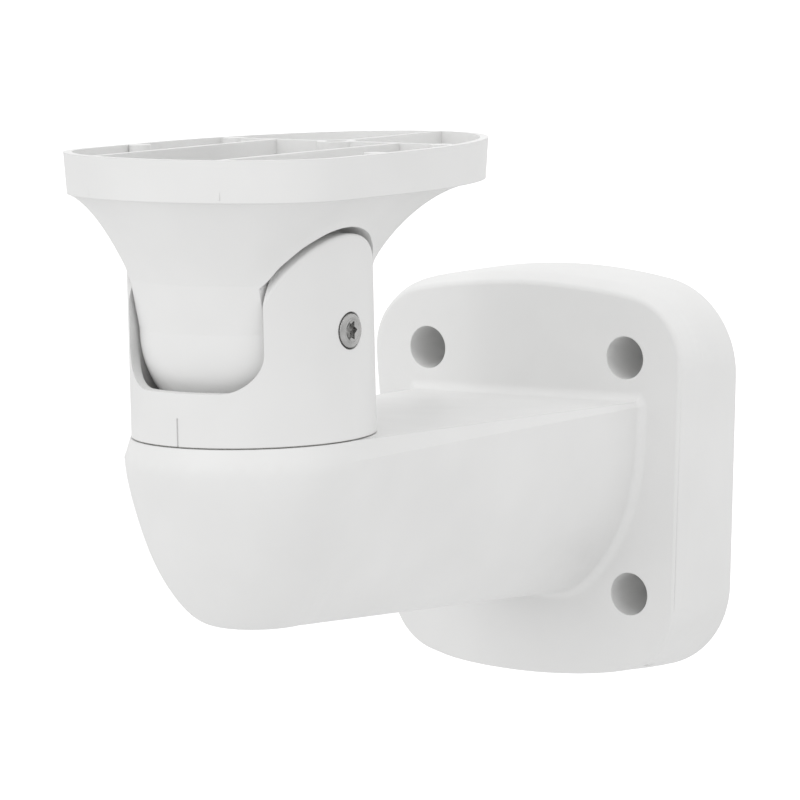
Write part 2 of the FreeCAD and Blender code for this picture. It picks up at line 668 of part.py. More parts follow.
def on_ear_edge(edge):
    """Edge between the top of an ear and the outside of the fork."""
    spots = edge.discretize(5)
    rise = number("tilt_rise")
    return all(abs(math.hypot(p.x, p.y) - number("swivel_radius")) < 0.01
               and abs(math.hypot(p.y, p.z - rise) - number("ear_radius")) < 0.01 for p in spots)


def ring_body(label, inner, outer, low, high, carried=True):
    """Flat ring about the pan axis between two levels."""
    body = at_pan_axis(label, carried)
    sketch = new_sketch(body, label + "_circles", "XY_Plane", low)
    circle(sketch, "0", "0", outer)
    circle(sketch, "0", "0", inner)
    pad(body, label + "_plate", sketch, "%s - (%s)" % (high, low))
    return body


def pan_washer():
    outer = "pan_washer_outer - fit_gap"
    return ring_body("pan_washer", "pan_washer_inner", outer, "-pan_washer_sink", "seam_gap", False)


def pan_disc_spring():
    body = at_pan_axis("pan_disc_spring")
    inner, outer = "spigot_radius + fit_gap * 3", "ring_radius - fit_gap"
    low, high = "-(deck_wall + spring_height)", "-deck_wall"
    sketch = new_sketch(body, "disc_profile", "XZ_Plane")
    outline(sketch, [(inner, low), (outer, high + " - spring_wall"), (outer, high), (inner, low + " + spring_wall")])
    turned(body, "Revolution", "disc", sketch, "V_Axis")
    return body


def retaining_ring():
    low = "-(deck_wall + spring_height + ring_depth)"
    body = ring_body("retaining_ring", "cable_radius + fit_gap", "ring_radius", low, "-(deck_wall + spring_height)")
    off = "ring_screw_circle * sqrt(0.5)"
    sketch = new_sketch(body, "tapped_circle", "XY_Plane")
    circle(sketch, off, off, "ring_screw_radius")
    hole = pocket(body, "tapped_hole", sketch, "deck_wall * 4")
    polar(body, "tapped_holes", hole, "Z_Axis", 4)
    return body


def ring_screw(place, turn):
    """Cap screw that pulls the retaining ring up against the spigot."""
    label = "ring_screw_%d" % place
    body = at_pan_axis(label)
    bind(body, "Placement.Base.x", "ring_screw_circle * cos((%d + pan_set) * 1 deg)" % turn)
    bind(body, "Placement.Base.y", "-reach + ring_screw_circle * sin((%d + pan_set) * 1 deg)" % turn)
    shank, edge = "(ring_screw_radius - fit_gap / 2)", "ring_head_depth / 6"
    sketch = new_sketch(body, label + "_profile", "XZ_Plane")
    outline(sketch, [("0", "-ring_screw_length"), (shank, "-ring_screw_length"), (shank, "0"),
                     ("ring_head_radius", "0"), ("ring_head_radius", "ring_head_depth - " + edge),
                     ("ring_head_radius - " + edge, "ring_head_depth"), ("0", "ring_head_depth")])
    turned(body, "Revolution", label + "_turned", sketch, "V_Axis")
    sketch = new_sketch(body, label + "_hexagon", "XY_Plane", "ring_head_depth")
    hexagon(sketch, "0", "0", "ring_head_radius / 2.4")
    pocket(body, label + "_socket", sketch, "ring_head_depth / 2")
    return body


def hexagon(sketch, across, up, apothem):
    """Hexagon with flats above and below."""
    corner = "(%s) / %.6f" % (apothem, math.cos(math.pi / 6))
    corners = []
    for turn in range(0, 360, 60):
        x, y = math.cos(math.radians(turn)), math.sin(math.radians(turn))
        corners.append(("%s + %s * %.6f" % (across, corner, x), "%s + %s * %.6f" % (up, corner, y)))
    outline(sketch, corners)


def tilt_screw(name, side):
    """Low-headed screw through an ear, a friction disc and a cheek of the ball, into a nut."""
    label = "tilt_screw_" + name
    body = at_tilt_axis(label)
    step = "tilt_head_depth / 8"
    tip, seat, top = "(tilt_seat - tilt_screw_length)", "tilt_seat", "(tilt_seat + tilt_head_depth)"
    sketch = new_sketch(body, label + "_profile", "XZ_Plane")
    corners = [(tip, "0"), (top, "0"), (top, "tilt_head_radius - " + step),
               (top + " - " + step, "tilt_head_radius"), (seat, "tilt_head_radius"),
               (seat, "tilt_screw_radius"), (tip + " + " + step, "tilt_screw_radius"),
               (tip, "tilt_screw_radius - " + step)]
    if side < 0:
        corners = [("-(%s)" % across, up) for across, up in reversed(corners)]
    outline(sketch, corners)
    turned(body, "Revolution", label + "_turned", sketch, "H_Axis")
    sketch = new_sketch(body, label + "_recess_outline", "YZ_Plane", top if side > 0 else "-" + top)
    lobes = []
    for lobe in range(6):
        for turn, radius in ((60 * lobe - 14, "-tilt_recess * 0.5"), (60 * lobe + 14, "tilt_recess * 0.26")):
            x, y = math.cos(math.radians(turn)) * 0.92, math.sin(math.radians(turn)) * 0.92
            lobes.append(("tilt_recess * %.6f" % x, "tilt_recess * %.6f" % y, radius))
    outline(sketch, lobes)
    pocket(body, label + "_recess", sketch, "recess_depth", side < 0)
    return body


def tilt_washer(name, side):
    label = "tilt_washer_" + name
    body = at_tilt_axis(label, False)
    sketch = new_sketch(body, label + "_circles", "YZ_Plane", "slot_half - cheek_gap" if side > 0 else "-slot_half")
    circle(sketch, "0", "0", "tilt_washer_radius")
    circle(sketch, "0", "0", "tilt_screw_radius + fit_gap")
    pad(body, label + "_disc", sketch, "cheek_gap")
    return body


def tilt_nut(name, side):
    label = "tilt_nut_" + name
    body = at_tilt_axis(label)
    start = "cavity_half" if side > 0 else "-(cavity_half + nut_depth)"
    sketch = new_sketch(body, label + "_outline", "YZ_Plane", start)
    hexagon(sketch, "0", "0", "nut_across / 2")
    circle(sketch, "0", "0", "tilt_screw_radius")
    pad(body, label + "_hexagon", sketch, "nut_depth")
    return body


# Camera shoe: the ball between the ears, a neck, and a long flared tray for the camera's foot


TURNS = 36  # directions in which an outline of the shoe is worked out


def rim_reach(across, along, inset):
    """Distance from the pan axis to the rim's outline, in the direction (across, along)."""
    half = number("rim_half - (%s)" % inset)
    straight, total = ("rim_straight_rear", "rim_rear") if along > 0 else ("rim_straight_front", "rim_front")
    straight, total = number(straight), number("%s - (%s)" % (total, inset))
    if half * abs(along) <= straight * abs(across):
        return half / abs(across)
    depth = total - straight
    square = (across / half) ** 2 + (along / depth) ** 2
    middle = abs(along) * straight / depth ** 2
    return (middle + math.sqrt(middle ** 2 - square * ((straight / depth) ** 2 - 1))) / square


def flare_spread(level, along):
    """Share of the way from the neck to the rim. The sides wait for the arch over the ears."""
    arch = number("(ear_radius + ear_gap + arch_margin) ^ 2") - (number("neck_radius") * along) ** 2
    start = max(number("neck_rise"), math.sqrt(max(arch, 0)))
    rise = min(max((level - start) / (number("rim_low") - start), 0), 1)
    end = "rear" if along > 0 else "front"
    early, late = (number("flare_%s_side + (flare_%s_%s - flare_%s_side) * %.5f" % (key, key, end, key, along ** 2))
                   for key in ("early", "late"))
    return 1 - (1 - rise ** early) ** late


def shoe_section(sketch, level, inset="0", lean="0"):
    """Closed outline of the shoe at a level of its flare: round at the neck, long at the rim."""
    height = number(level)
    neck = number("neck_radius - (%s)" % inset)
    spots = []
    for step in range(TURNS):
        turn = 2 * math.pi * step / TURNS
        across, along = math.sin(turn), -math.cos(turn)
        rim = rim_reach(across, along, "%s + %s" % (inset, lean))
        reach = neck + (rim - neck) * flare_spread(height, along)
        spots.append(Vector(across * reach, along * reach, 0))
    curve = Part.BSplineCurve()
    curve.interpolate(Points=spots, PeriodicFlag=True, Parameters=[float(step) for step in range(TURNS + 1)])
    fixed(sketch, curve)


def ball_flat_pockets(body, name, radius, low):
    """Cuts both sides of the ball flat, under an arch that clears the ears."""
    side = "sqrt((%s) ^ 2 - ear_foot ^ 2)" % radius
    for hand, start, outwards in (("left", "-(slot_half - cheek_gap)", False),
                                  ("right", "slot_half - cheek_gap", True)):
        sketch = new_sketch(body, "%s_outline_%s" % (name, hand), "YZ_Plane", start)
        outline(sketch, [("-" + side, low), (side, low), (side, "ear_foot"), ("-" + side, "ear_foot", radius)])
        pocket(body, "%s_%s" % (name, hand), sketch, "swivel_radius", outwards)


def camera_shoe():
    body = at_tilt_axis("camera_shoe")
    # Ball
    cut = "sqrt(ball_radius ^ 2 - ball_drop ^ 2)"
    top = "sqrt(ball_radius ^ 2 - ball_top ^ 2)"
    sketch = new_sketch(body, "ball_profile", "XZ_Plane")
    outline(sketch, [("0", "-ball_drop"), (cut, "-ball_drop"), (top, "ball_top", "ball_radius"), ("0", "ball_top")])
    turned(body, "Revolution", "ball", sketch, "V_Axis")
    # Conical neck that grows out of the ball, the flare, and the rim over it
    sections = []
    for place, (level, inset) in enumerate((("-neck_root", "neck_taper"), ("neck_rise", "0"))):
        sketch = new_sketch(body, "neck_section_%d" % place, "XY_Plane", level)
        shoe_section(sketch, "neck_rise", inset)
        sections.append(sketch)
    neck = loft(body, "AdditiveLoft", "neck", sections)
    neck.Ruled = True
    sections = []
    for place, share in enumerate((0, 0.12, 0.28, 0.45, 0.6, 0.74, 0.87, 0.95, 1)):
        level = "neck_rise + (rim_low - neck_rise) * %g" % share
        sketch = new_sketch(body, "flare_section_%d" % place, "XY_Plane", level)
        shoe_section(sketch, level, lean="rim_lean")
        sections.append(sketch)
    loft(body, "AdditiveLoft", "flare", sections)
    sections = []
    for place, (level, lean) in enumerate((("rim_low", "rim_lean"), ("rim_top", "0"))):
        sketch = new_sketch(body, "rim_section_%d" % place, "XY_Plane", level)
        shoe_section(sketch, "rim_low", lean=lean)
        sections.append(sketch)
    rim = loft(body, "AdditiveLoft", "rim", sections)
    rim.Ruled = True
    doc.recompute()
    # Tray inside the rim
    sections = []
    for place, share in enumerate((0, 0.35, 0.7, 1)):
        under = "tray_floor - flare_wall + (rim_low + flare_wall - tray_floor) * %g" % share
        sketch = new_sketch(body, "tray_section_%d" % place, "XY_Plane", under + " + flare_wall")
        shoe_section(sketch, under, "1 + (rim_wall - 1) * %g" % share)
        sections.append(sketch)
    loft(body, "SubtractiveLoft", "tray", sections)
    sections = []
    for place, level in enumerate(("rim_low + flare_wall", "rim_top + 1")):
        sketch = new_sketch(body, "tray_mouth_section_%d" % place, "XY_Plane", level)
        shoe_section(sketch, "rim_low", "rim_wall")
        sections.append(sketch)
    mouth = loft(body, "SubtractiveLoft", "tray_mouth", sections)
    mouth.Ruled = True
    doc.recompute()
    # Ribs that carry the camera's foot, following the flare at their ends
    low, knee = "tray_floor - 1", "rim_low + 1"
    half = "tray_rib / 2"
    for hand, place in (("left", "-rib_spread"), ("right", "rib_spread")):
        sketch = new_sketch(body, "long_rib_outline_" + hand, "YZ_Plane", place)
        outline(sketch, [("cross_rib", "rim_top"), ("-(rim_front - rim_wall * 1.8)", "rim_top"),
                         ("-(rim_front - rim_wall * 1.8)", knee), ("-long_rib_foot", low), ("cross_rib", low)])
        both_ways(pad(body, "long_rib_" + hand, sketch, "tray_rib"))
    sketch = new_sketch(body, "cross_rib_outline", "XZ_Plane", "-cross_rib")
    outline(sketch, [("-(rim_half * 0.9)", "rim_top"), ("-(rim_half * 0.9)", knee), ("-cross_rib_knee", "rim_low"),
                     ("-cross_rib_foot", low), ("cross_rib_foot", low), ("cross_rib_knee", "rim_low"),
                     ("rim_half * 0.9", knee), ("rim_half * 0.9", "rim_top")])
    both_ways(pad(body, "cross_rib", sketch, "tray_rib"))
    sketch = new_sketch(body, "tail_rib_outline", "YZ_Plane")
    outline(sketch, [("cross_rib", low), ("tail_rib_foot", low), ("tail_rib_knee", "rim_low"),
                     ("rim_rear - rim_wall / 2", knee), ("rim_rear - rim_wall / 2", "rim_top"),
                     ("cross_rib", "rim_top")])
    both_ways(pad(body, "tail_rib", sketch, "tray_rib"))
    # Boss and hole for the camera's screw, and small pads inside the rim
    sketch = new_sketch(body, "camera_boss_circle", "XY_Plane", low)
    circle(sketch, "0", "cross_rib", "camera_boss / 2")
    pad(body, "camera_boss", sketch, "rim_top - (%s)" % low)
    sketch = new_sketch(body, "pad_circles", "XY_Plane", knee)
    beside = "rim_half - rim_wall - pad_radius * 0.8"
    for across, along in ((beside, "pad_radius"), ("-(%s)" % beside, "pad_radius"),
                          ("rim_half * 0.79", "cross_rib"), ("-(rim_half * 0.79)", "cross_rib")):
        circle(sketch, across, along, "pad_radius")
    pad(body, "pads", sketch, "rim_top - (%s)" % knee)
    # Flat cheeks of the ball under an arch that clears the ears, and the cable way through it
    ball_flat_pockets(body, "arch", "ear_radius + ear_gap", "-ball_radius")
    arc_foot = "sqrt(cavity_radius ^ 2 - mouth_half ^ 2)"
    under = "-(ball_drop + 1)"
    sketch = new_sketch(body, "well_outline", "YZ_Plane")
    outline(sketch, [("-mouth_half", under), ("mouth_half", under), ("mouth_half", "-" + arc_foot),
                     ("cavity_radius", "0", "cavity_radius"), ("well_half", "neck_rise"),
                     ("well_half", "tray_floor + 1"), ("-well_half", "tray_floor + 1"),
                     ("-well_half", "neck_rise"), ("-cavity_radius", "0"),
                     ("-mouth_half", "-" + arc_foot, "cavity_radius")])
    pocket(body, "well", sketch, "cavity_half * 2", middle=True)
    sketch = new_sketch(body, "camera_hole_circle", "XY_Plane", "rim_top + 1")
    circle(sketch, "0", "cross_rib", "camera_bore / 2")
    pocket(body, "camera_hole", sketch, "rim_top")
    sketch = new_sketch(body, "camera_screw_sink_circle", "XY_Plane", "rim_top - camera_screw_seat")
    circle(sketch, "0", "cross_rib", "camera_screw_sink / 2")
    pocket(body, "camera_screw_sink", sketch, "rim_top")
    # Bores and nut pockets of the tilt screws
    sketch = new_sketch(body, "tilt_bore_circle", "YZ_Plane")
    circle(sketch, "0", "0", "tilt_screw_radius + fit_gap")
    pocket(body, "tilt_bores", sketch, "slot_half * 2", middle=True)
    for hand, start, outwards in (("left", "-cavity_half", False), ("right", "cavity_half", True)):
        sketch = new_sketch(body, "nut_outline_" + hand, "YZ_Plane", start)
        hexagon(sketch, "0", "0", "nut_across / 2 + fit_gap")
        pocket(body, "nut_pocket_" + hand, sketch, "nut_depth", outwards)
    return body


wall_arm()
pan_washer()
yoke()
pan_disc_spring()
retaining_ring()
for place in range(4):
    ring_screw(place + 1, 45 + 90 * place)
camera_shoe()
for hand_name, hand_side in (("left", -1), ("right", 1)):
    tilt_screw(hand_name, hand_side)
    tilt_washer(hand_name, hand_side)
    tilt_nut(hand_name, hand_side)
doc.recompute()

failed = [item.Name for item in doc.Objects if "Invalid" in item.State or "Error" in item.State]
if failed:
    raise RuntimeError("not built: " + ", ".join(failed))
os.makedirs("parts", exist_ok=True)
for body in doc.findObjects("PartDesign::Body"):
    shape = body.Shape
    if shape.isNull() or not shape.isValid() or len(shape.Solids) != 1:
        raise RuntimeError("%s is not one sound solid" % body.Label)
    shape.exportStep("parts/%s.step" % body.Label)
    print("%-18s %9.1f mm3" % (body.Label, shape.Volume))
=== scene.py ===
import json
import math

import bmesh
import bpy
from mathutils import Matrix, Vector


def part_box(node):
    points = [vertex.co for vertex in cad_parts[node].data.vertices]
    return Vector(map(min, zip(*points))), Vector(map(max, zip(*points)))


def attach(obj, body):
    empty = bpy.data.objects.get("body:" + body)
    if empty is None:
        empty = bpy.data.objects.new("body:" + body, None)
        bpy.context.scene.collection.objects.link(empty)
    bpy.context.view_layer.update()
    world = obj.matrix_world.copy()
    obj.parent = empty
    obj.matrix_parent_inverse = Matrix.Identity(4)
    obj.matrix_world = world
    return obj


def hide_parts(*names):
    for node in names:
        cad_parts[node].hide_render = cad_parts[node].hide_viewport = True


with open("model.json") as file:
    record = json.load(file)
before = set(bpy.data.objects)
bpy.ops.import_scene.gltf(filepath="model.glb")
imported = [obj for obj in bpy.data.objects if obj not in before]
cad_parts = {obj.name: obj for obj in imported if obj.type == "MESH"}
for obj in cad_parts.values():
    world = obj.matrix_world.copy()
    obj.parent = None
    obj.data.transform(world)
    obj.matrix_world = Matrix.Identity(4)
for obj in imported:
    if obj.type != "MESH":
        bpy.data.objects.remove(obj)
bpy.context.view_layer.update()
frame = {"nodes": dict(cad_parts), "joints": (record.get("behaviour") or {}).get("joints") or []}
nodes = frame["nodes"]
joints = {joint["name"]: joint for joint in frame["joints"]}
scene = bpy.context.scene

# Camera at the photograph's place: turned round the bracket, a little above it and slightly rolled
cameraSetup = {
    "azimuth": 34.883,      # degrees, 0 looks along +Y
    "pitch": 6.999,         # degrees, looking down
    "roll": 1.300,          # degrees
    "lens": 260.0,          # mm
    "sensor": 36,           # mm
    "clip": (0.1, 200),     # metres
    "place": (0.969211, -1.484803, 0.237082),
}


def makeCamera(setup):
    azimuth, pitch, roll = (math.radians(setup[key]) for key in ("azimuth", "pitch", "roll"))
    ahead = Vector((-math.sin(azimuth) * math.cos(pitch),
                    math.cos(azimuth) * math.cos(pitch),
                    -math.sin(pitch)))
    right = Vector((math.cos(azimuth), math.sin(azimuth), 0))
    up = right.cross(ahead)
    across = right * math.cos(roll) - up * math.sin(roll)
    upright = right * math.sin(roll) + up * math.cos(roll)
    data = bpy.data.cameras.new("camera")
    data.lens = setup["lens"]
    data.sensor_width = setup["sensor"]
    data.clip_start, data.clip_end = setup["clip"]
    camera = bpy.data.objects.new("camera", data)
    turn = Matrix((across, upright, -ahead)).transposed().to_4x4()
    camera.matrix_world = Matrix.Translation(setup["place"]) @ turn
    scene.collection.objects.link(camera)
    scene.camera = camera


makeCamera(cameraSetup)
print("camera set")

# A white studio: even surroundings, a pale floor far below and two softboxes
studio = {
    "floorDrop": 1.6,       # floor below the wall holes, metres
    "floorReach": 60.0,     # half the floor's side
    "floorShade": 0.9,
    "floorRough": 0.9,
    "floorGlow": 0.35,      # keeps the pale floor white to the horizon
    "glowBelow": 0.91,      # brightness of the surroundings, straight down
    "glowAbove": 0.98,      # and straight up
    "aim": (0, -0.1, 0.02),     # where both softboxes point
}
softboxes = {
    "keyLight": {"place": (-0.35, -1.9, 0.9), "size": (0.35, 1.6), "power": 4.2},
    "topLight": {"place": (0.2, -0.5, 1.9), "size": (1.2, 1.2), "power": 5.5},
}


def makeWorld(setup):
    # Plain white to the camera, and a little darker from below to everything else
    world = bpy.data.worlds.new("studio")
    world.use_nodes = True
    tree = world.node_tree
    tree.nodes.clear()
    where = tree.nodes.new("ShaderNodeTexCoord")
    split = tree.nodes.new("ShaderNodeSeparateXYZ")
    rise = tree.nodes.new("ShaderNodeMapRange")
    rise.inputs["From Min"].default_value = -1
    rise.inputs["From Max"].default_value = 1
    rise.inputs["To Min"].default_value = setup["glowBelow"]
    rise.inputs["To Max"].default_value = setup["glowAbove"]
    glow = tree.nodes.new("ShaderNodeBackground")
    white = tree.nodes.new("ShaderNodeBackground")
    glow.inputs["Color"].default_value = (1, 1, 1, 1)
    white.inputs["Color"].default_value = (1, 1, 1, 1)
    rays = tree.nodes.new("ShaderNodeLightPath")
    pick = tree.nodes.new("ShaderNodeMixShader")
    out = tree.nodes.new("ShaderNodeOutputWorld")
    tree.links.new(where.outputs["Generated"], split.inputs[0])
    tree.links.new(split.outputs["Z"], rise.inputs["Value"])
    tree.links.new(rise.outputs["Result"], glow.inputs["Strength"])
    tree.links.new(rays.outputs["Is Camera Ray"], pick.inputs["Fac"])
    tree.links.new(glow.outputs[0], pick.inputs[1])
    tree.links.new(white.outputs[0], pick.inputs[2])
    tree.links.new(pick.outputs[0], out.inputs["Surface"])
    scene.world = world


def makeFloor(setup):
    mesh = bpy.data.meshes.new("floor")
    bm = bmesh.new()
    bmesh.ops.create_grid(bm, x_segments=2, y_segments=2, size=setup["floorReach"])
    bmesh.ops.translate(bm, verts=bm.verts, vec=(0, 0, -setup["floorDrop"]))
    bm.to_mesh(mesh)
    bm.free()
    floor = bpy.data.objects.new("floor", mesh)
    floor.visible_diffuse = False
    floor.visible_glossy = False
    scene.collection.objects.link(floor)
    material = bpy.data.materials.new("paleFloor")
    material.use_nodes = True
    shader = material.node_tree.nodes["Principled BSDF"]
    shade = setup["floorShade"]
    shader.inputs["Base Color"].default_value = (shade, shade, shade, 1)
    shader.inputs["Roughness"].default_value = setup["floorRough"]
    shader.inputs["Emission Color"].default_value = (1, 1, 1, 1)
    shader.inputs["Emission Strength"].default_value = setup["floorGlow"]
    mesh.materials.append(material)


def makeSoftbox(name, setup, aim):
    data = bpy.data.lights.new(name, "AREA")
    data.shape = "RECTANGLE"
    data.size, data.size_y = setup["size"]
    data.energy = setup["power"]
    light = bpy.data.objects.new(name, data)
    light.location = setup["place"]
    towards = Vector(aim) - light.location
    light.rotation_euler = towards.to_track_quat("-Z", "Y").to_euler()
    scene.collection.objects.link(light)


scene.view_settings.view_transform = "Standard"
makeWorld(studio)
makeFloor(studio)
for name, setup in softboxes.items():
    makeSoftbox(name, setup, studio["aim"])
print("studio set")

# What every material here is built from, all on Object coordinates
noiseMiddle = (0.3, 0.7)    # the part of a noise's range that most of it lies in


def addNoise(tree, at, size, detail, seed):
    # Smooth noise with patches of about that size in metres, moved by seed so that no two pieces match
    move = tree.nodes.new("ShaderNodeMapping")
    move.inputs["Location"].default_value = (seed, seed * 0.7, -seed)
    noise = tree.nodes.new("ShaderNodeTexNoise")
    noise.inputs["Scale"].default_value = 1 / size
    noise.inputs["Detail"].default_value = detail
    tree.links.new(at, move.inputs["Vector"])
    tree.links.new(move.outputs["Vector"], noise.inputs["Vector"])
    return noise.outputs["Fac"]


def addRange(tree, value, low, high, target):
    # Spreads the middle of a noise over low to high
    spread = tree.nodes.new("ShaderNodeMapRange")
    spread.inputs["From Min"].default_value = noiseMiddle[0]
    spread.inputs["From Max"].default_value = noiseMiddle[1]
    spread.inputs["To Min"].default_value = low
    spread.inputs["To Max"].default_value = high
    tree.links.new(value, spread.inputs["Value"])
    tree.links.new(spread.outputs["Result"], target)


def addTint(tree, value, dark, light, target):
    # Blends two colours by a noise
    blend = tree.nodes.new("ShaderNodeValToRGB")
    for stop, place, colour in zip(blend.color_ramp.elements, noiseMiddle, (dark, light)):
        stop.position = place
        stop.color = (*colour, 1)
    tree.links.new(value, blend.inputs["Fac"])
    tree.links.new(blend.outputs["Color"], target)


def addBump(tree, value, height, before):
    bump = tree.nodes.new("ShaderNodeBump")
    bump.inputs["Distance"].default_value = height
    tree.links.new(value, bump.inputs["Height"])
    tree.links.new(before, bump.inputs["Normal"])
    return bump.outputs["Normal"]


def addRoundEdge(tree, radius):
    # Rounds the shading of crisp edges, as a thick coat does
    bevel = tree.nodes.new("ShaderNodeBevel")
    bevel.samples = 6
    bevel.inputs["Radius"].default_value = radius
    return bevel.outputs["Normal"]


def makeFinish(name, setup, seed):
    # A cloudy colour and patchy roughness, and what the rest of a finish is added to
    material = bpy.data.materials.new(name)
    material.use_nodes = True
    tree = material.node_tree
    shader = tree.nodes["Principled BSDF"]
    at = tree.nodes.new("ShaderNodeTexCoord").outputs["Object"]
    cloud = addNoise(tree, at, setup["cloud"], setup["cloudDetail"], seed)
    patches = addNoise(tree, at, setup["roughPatch"], 2, seed)
    addTint(tree, cloud, setup["dark"], setup["light"], shader.inputs["Base Color"])
    addRange(tree, patches, *setup["rough"], shader.inputs["Roughness"])
    return material, tree, shader, at


def dress(node, material):
    node.data.materials.clear()
    node.data.materials.append(material)


# White powder coat on the three castings
coat = {
    "dark": (0.775, 0.775, 0.77),
    "light": (0.81, 0.81, 0.805),
    "cloud": 0.035,             # size of the clouds, metres
    "cloudDetail": 3,
    "rough": (0.40, 0.50),
    "roughPatch": 0.012,
    "peel": 0.0018,             # orange peel
    "peelHeight": 0.000014,
    "grain": 0.00035,           # powder grain
    "grainHeight": 0.0000025,
    "edge": 0.0004,             # coat's own rounding at crisp edges
}
castings = {"wall_arm": "armCoat", "yoke": "forkCoat", "camera_shoe": "shoeCoat"}
coatShift = 0.31                # moves the pattern from one casting to the next


def makeCoat(name, setup, seed):
    material, tree, shader, at = makeFinish(name, setup, seed)
    normal = addRoundEdge(tree, setup["edge"])
    for mark in ("peel", "grain"):
        noise = addNoise(tree, at, setup[mark], 1, seed)
        normal = addBump(tree, noise, setup[mark + "Height"], normal)
    tree.links.new(normal, shader.inputs["Normal"])
    return material


coats = {}
for number, (node, name) in enumerate(castings.items()):
    coats[node] = makeCoat(name, coat, number * coatShift)
    dress(nodes[node], coats[node])
print("castings coated")

# The wall plate's front edge as the photograph shows it, on a copy of the arm: crisper, with fuller corners
# and sides. Lengths are in mm, heights are above the wall holes' middle
plate = {
    "halfTop": 60.0,            # the plate's outline on the wall
    "halfLow": 53.6,
    "rise": 60.9,
    "drop": 66.0,
    "crownTop": 190.0,
    "crownLow": 130.0,
    "corner": 28.0,
    "depth": 27.3,
    "draft": 7.0,               # degrees
    "edge": 3.0,                # rounding of the front edge in the solid
    "edgeZone": 1.15,           # share of that rounding that is moved
    "crisp": 1.0,               # the rounding as shown
    "fuller": 5.0,              # the front corners' radius is this much smaller
    "fullerFrom": (16, 20.5),   # fades in over this reach from a corner's centre
    "swell": 7,                 # a higher power keeps the upper sides full closer to the front
    "swellFrom": (-7, -4.2),    # fades in over this way out to the outline
    "swellRise": (0, 35),       # and over these heights
    "cuts": (5, 10, 14, 17, 19, 21, 22.5, 24, 25.2),    # depths that get new points for that
    "sharp": 24,                # edges past this many degrees stay sharp
}


def cornerOf(shape, upper):
    # Centre of a corner's rounding, centre of the crown, the side's way up and out, and the crown's radius
    high = Vector((shape["halfTop"], shape["rise"]))
    low = Vector((shape["halfLow"], -shape["drop"]))
    up = (high - low).normalized()
    outward = Vector((up.y, -up.x))
    crown = shape["crownTop"] if upper else shape["crownLow"]
    hub = Vector((0, shape["rise"] - crown)) if upper else Vector((0, crown - shape["drop"]))
    start = low - outward * shape["corner"] - hub
    along = start.dot(up)
    root = math.sqrt(along ** 2 - start.dot(start) + (crown - shape["corner"]) ** 2)
    return hub + start + up * ((root if upper else -root) - along), hub, up, outward, crown


def nearestSide(spot, shape, corner):
    # How far a spot is outside the outline on the wall, and the way outwards there
    centre, hub, up, outward, crown = corner
    fromCentre, fromHub = spot - centre, spot - hub
    upper = 1 if centre.y > 0 else -1
    level = fromCentre.dot(up) * upper
    inCrown = (centre.x * fromHub.y - (centre - hub).y * spot.x) * upper > 0
    found = []
    if level <= 0:
        found.append((fromCentre.dot(outward) - shape["corner"], outward))
    if inCrown:
        found.append((fromHub.length - crown, fromHub.normalized()))
    if found:
        return max(found, key=lambda pair: pair[0])
    return fromCentre.length - shape["corner"], fromCentre.normalized()


def fade(value, low, high):
    # 0 below low, 1 above high, and an even curve between
    share = min(max((value - low) / (high - low), 0), 1)
    return share * share * (3 - 2 * share)


def fullerCorner(spot, lean, share, shape, corner):
    # How far a spot that leans this much from a corner's centre is pushed out, more so towards the front
    centre, hub, up, outward, crown = corner
    onward = up if centre.y > 0 else -up
    across, level = max(lean.dot(outward), 0), max(lean.dot(onward), 0)
    reach = math.hypot(across, level)
    if reach == 0:
        return Vector((0, 0))
    push = shape["fuller"] * share * fade(reach, *shape["fullerFrom"])
    sideways = (1 - across / reach) * fade(spot.x, 0, centre.x)
    onwards = (1 - level / reach) * fade(abs(spot.y), 0, abs(centre.y))
    return (outward * sideways + onward * onwards) * push


def reshapePlate(bm, shape):
    corners = {upper: cornerOf(shape, upper) for upper in (True, False)}
    taper = math.tan(math.radians(shape["draft"]))
    zone = shape["edge"] * shape["edgeZone"]
    moved = 1 - shape["crisp"] / shape["edge"]
    for vert in bm.verts:
        depth = -vert.co.y * 1000
        if depth > shape["depth"] + 0.01 or depth < 0.5:     # not on the plate, or on the wall
            continue
        spot = Vector((abs(vert.co.x) * 1000, vert.co.z * 1000))
        corner = corners[spot.y > 0]
        outside, away = nearestSide(spot, shape, corner)
        inset = outside + shape["depth"] * taper
        if depth > shape["depth"] - zone and inset > -zone:
            spot -= away * inset * moved
            depth += (shape["depth"] - depth) * moved
        lean = spot - corner[0]
        share = depth / shape["depth"]
        swell = shape["depth"] * taper * (share - share ** shape["swell"])
        swell *= fade(outside + depth * taper, *shape["swellFrom"]) * fade(spot.y, *shape["swellRise"])
        spot += away * swell
        spot += fullerCorner(spot, lean, share, shape, corner)
        vert.co = (math.copysign(spot.x, vert.co.x) / 1000, -depth / 1000, spot.y / 1000)


def toMesh(bm, name, sharp, material):
    # Smooth but for edges past the sharp angle
    bmesh.ops.recalc_face_normals(bm, faces=bm.faces)
    mesh = bpy.data.meshes.new(name)
    bm.to_mesh(mesh)
    bm.free()
    if "custom_normal" in mesh.attributes:      # the solid's own, which no longer fit
        mesh.attributes.remove(mesh.attributes["custom_normal"])
    for face in mesh.polygons:
        face.use_smooth = True
    mesh.set_sharp_from_angle(angle=math.radians(sharp))
    mesh.materials.append(material)
    return mesh


